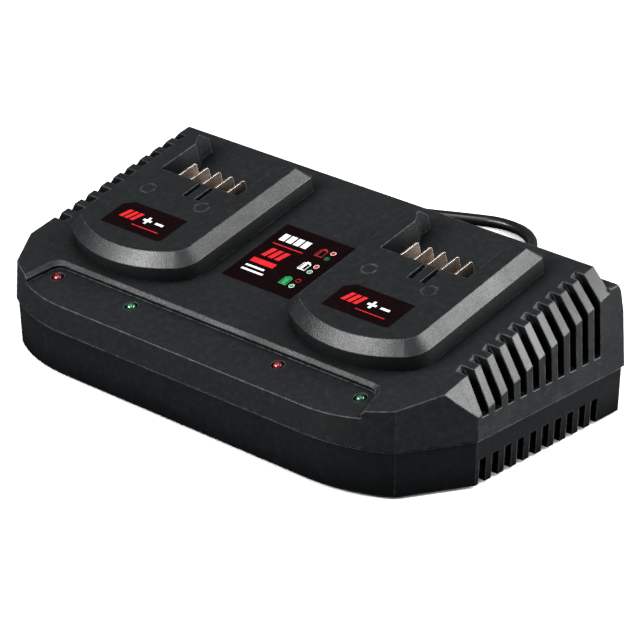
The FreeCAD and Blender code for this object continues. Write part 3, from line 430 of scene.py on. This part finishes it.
def finishPrint(bm, name, ink, place):
    bmesh.ops.recalc_face_normals(bm, faces=bm.faces[:])
    bmesh.ops.transform(bm, matrix=place, verts=bm.verts[:])
    data = bpy.data.meshes.new(name)
    bm.to_mesh(data)
    bm.free()
    obj = bpy.data.objects.new(name, data)
    obj.data.materials.append(inkMaterials[ink])
    bpy.context.collection.objects.link(obj)
    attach(obj, "root")
    return obj


def makePrint(name, ink, place, shapes=(), frames=()):
    bm = bmesh.new()
    for pts in shapes:
        addOutline(bm, pts)
    for pts, centre, share in frames:
        addFrame(bm, pts, centre, share)
    return finishPrint(bm, name, ink, place)


bayPrint = dict(x=73.4, stripeU=-15.5, stripeV=-24.6, stripeHigh=6.6, stripeWide=2.5, stripeStep=3.7,
                stripes=3, lean=2.0, signU=(1.5, 9.5), signV=-21.3, signArm=2.7, signLine=0.75,
                rule=(-4.0, -27.4, 14.0, -26.9))


def makeBayPrints(p):
    for side, x in (("left", -p["x"]), ("right", p["x"])):
        place = tiltPlace(x, bayTop + labelThick)
        stripes = []
        for k in range(p["stripes"]):
            u = p["stripeU"] + k * p["stripeStep"]
            top = p["stripeV"] + p["stripeHigh"]
            stripes.append(bar(u, p["stripeV"], u + p["stripeWide"], top, p["lean"]))
        makePrint(side + "_bay_print_red", "red", place, stripes + [bar(*p["rule"])])
        a, t, v = p["signArm"], p["signLine"], p["signV"]
        plus, minus = p["signU"]
        shapes = [bar(plus - a, v - t, plus + a, v + t), bar(plus - t, v + t, plus + t, v + a),
                  bar(plus - t, v - a, plus + t, v - t), bar(minus - a, v - t, minus + a, v + t)]
        makePrint(side + "_bay_print_white", "white", place, shapes)


centrePrint = dict(iconU=9.3, iconV=(13.4, 1.0, -12.6), iconW=2.4, iconH=3.0, iconCorner=0.7,
                   iconLine=(0.84, 0.78), iconFill=(0.25, 0.6, 1.0), fillIn=(1.0, 0.8, 0.9),
                   cap=(1.1, 0.15, 0.75), dotU=14.9, dotR=1.15,
                   dotV=((15.9, 11.1), (3.5, -1.4), (-9.7, -14.5)), haloOut=0.35, haloLine=(0.8, 0.8),
                   hoopOut=0.3, redHoop=(0.78, 0.78), greenHoop=(0.75, 0.75), smallDot=0.6,
                   gaugeU=-18.0, gaugeV=12.2, gaugeN=4, gaugeW=3.6, gaugeH=5.6, gaugeStep=4.7,
                   lines=((-18.0, -12.0, -6.0, -10.7), (-18.0, -15.2, -4.0, -13.9)),
                   stripeU=-17.0, stripeV=-1.8, stripeStep=4.4, stripeWide=3.0, stripeHigh=7.2,
                   stripeLean=1.8, stripes=3, band=(-18.5, -8.2, -3.5, -4.6), rule=(-18.5, 8.6, 1.0, 9.2))


def batteryIcon(u, v, w, h, k):
    return [(u - w, v - h), (u + w, v - h), (u + w, v + h - k), (u + w - k, v + h), (u - w + k, v + h),
            (u - w, v + h - k)]


def makeIcons(p, place):
    u, w, h = p["iconU"], p["iconW"], p["iconH"]
    left, low, high = p["fillIn"]
    half, rise, top = p["cap"]
    rows = zip(("flat", "filling", "full"), ("darkRed", "white", "green"), p["iconV"], p["iconFill"])
    for name, ink, v, level in rows:
        outline = batteryIcon(u, v, w, h, p["iconCorner"])
        inside = bar(u - w + left, v - h + low, u - w + left + 2 * (w - left) * level, v + h - high)
        cap = bar(u - half, v + h + rise, u + half, v + h + top)
        makePrint("battery_mark_" + name, ink, place, [inside, cap], [(outline, (u, v), p["iconLine"])])


def makeDots(p, place):
    u, r, hoop = p["dotU"], p["dotR"], p["dotR"] + p["hoopOut"]
    (redTop, dark), (redMiddle, greenMiddle), (redLow, greenLow) = p["dotV"]
    halos = [(ring(u, v, r + p["haloOut"]), (u, v), p["haloLine"])
             for v in (redTop, redMiddle, greenMiddle, greenLow)]
    makePrint("dot_halos", "white", place, [], halos)
    makePrint("dots_red", "red", place, [ring(u, v, r) for v in (redTop, redMiddle)],
              [(ring(u, redLow, hoop), (u, redLow), p["redHoop"])])
    makePrint("dots_green", "green", place, [ring(u, v, r) for v in (greenMiddle, greenLow)])
    makePrint("dot_dark_green", "darkGreen", place, [ring(u, dark, r * p["smallDot"])],
              [(ring(u, dark, hoop), (u, dark), p["greenHoop"])])


def makeCentrePrints(p):
    place = tiltPlace(0, labelThick)
    makeIcons(p, place)
    makeDots(p, place)
    gauge = []
    for k in range(p["gaugeN"]):
        u = p["gaugeU"] + k * p["gaugeStep"]
        gauge.append(bar(u, p["gaugeV"], u + p["gaugeW"], p["gaugeV"] + p["gaugeH"]))
    makePrint("centre_print_white", "white", place, gauge + [bar(*row) for row in p["lines"]])
    stripes = []
    for k in range(p["stripes"]):
        u, v = p["stripeU"] + k * p["stripeStep"], p["stripeV"]
        stripes.append(bar(u, v, u + p["stripeWide"], v + p["stripeHigh"], p["stripeLean"]))
    makePrint("centre_print_red", "red", place, stripes + [bar(*p["band"]), bar(*p["rule"])])



makeBayPrints(bayPrint)
makeCentrePrints(centrePrint)
print("label prints made")

# Floor, backdrop, lamps and world
# A lamp's row: its name, place, width, height and power
studio = dict(floor=0.86, floorBounce=0.03, floorRough=0.9, floorShine=0.1, floorHalf=6, backdrop=1.0,
              world=0.11, aim=(0, 0, 0.03), lamps=(
                  ("rearRight", (0.95, 0.68, 0.60), 1.0, 1.1, 52.0),
                  ("frontLeft", (-0.42, -1.02, 0.72), 1.0, 0.42, 32.0),
                  ("over", (0.3, -0.5, 1.6), 1.0, 1.0, 13.0)))


def makeStudio(s):
    bm = bmesh.new()
    bmesh.ops.create_grid(bm, x_segments=1, y_segments=1, size=s["floorHalf"])
    data = bpy.data.meshes.new("floor")
    bm.to_mesh(data)
    bm.free()
    floor = bpy.data.objects.new("floor", data)
    bpy.context.collection.objects.link(floor)
    m, tree, shader = newMaterial("paleFloor")
    path = node(tree, "ShaderNodeLightPath")
    grey = mapRange(tree, path.outputs["Is Camera Ray"], 0, 1, s["floorBounce"], s["floor"])
    tree.links.new(grey, shader.inputs["Base Color"])
    shader.inputs["Roughness"].default_value = s["floorRough"]
    shader.inputs["Specular IOR Level"].default_value = s["floorShine"]
    floor.data.materials.append(m)
    world = bpy.data.worlds.new("world")
    world.use_nodes = True
    bpy.context.scene.world = world
    tree = world.node_tree
    back = tree.nodes["Background"]
    path = node(tree, "ShaderNodeLightPath")
    strength = mapRange(tree, path.outputs["Is Camera Ray"], 0, 1, s["world"], s["backdrop"])
    tree.links.new(strength, back.inputs["Strength"])
    back.inputs["Color"].default_value = (1, 1, 1, 1)
    for name, at, wide, high, power in s["lamps"]:
        lamp = bpy.data.lights.new(name, "AREA")
        lamp.shape, lamp.size, lamp.size_y, lamp.energy = "RECTANGLE", wide, high, power
        obj = bpy.data.objects.new(name, lamp)
        obj.location = at
        obj.rotation_euler = (Vector(s["aim"]) - Vector(at)).to_track_quat("-Z", "Y").to_euler()
        bpy.context.collection.objects.link(obj)


makeStudio(studio)
bpy.context.scene.view_settings.view_transform = "Standard"
print("studio lit")
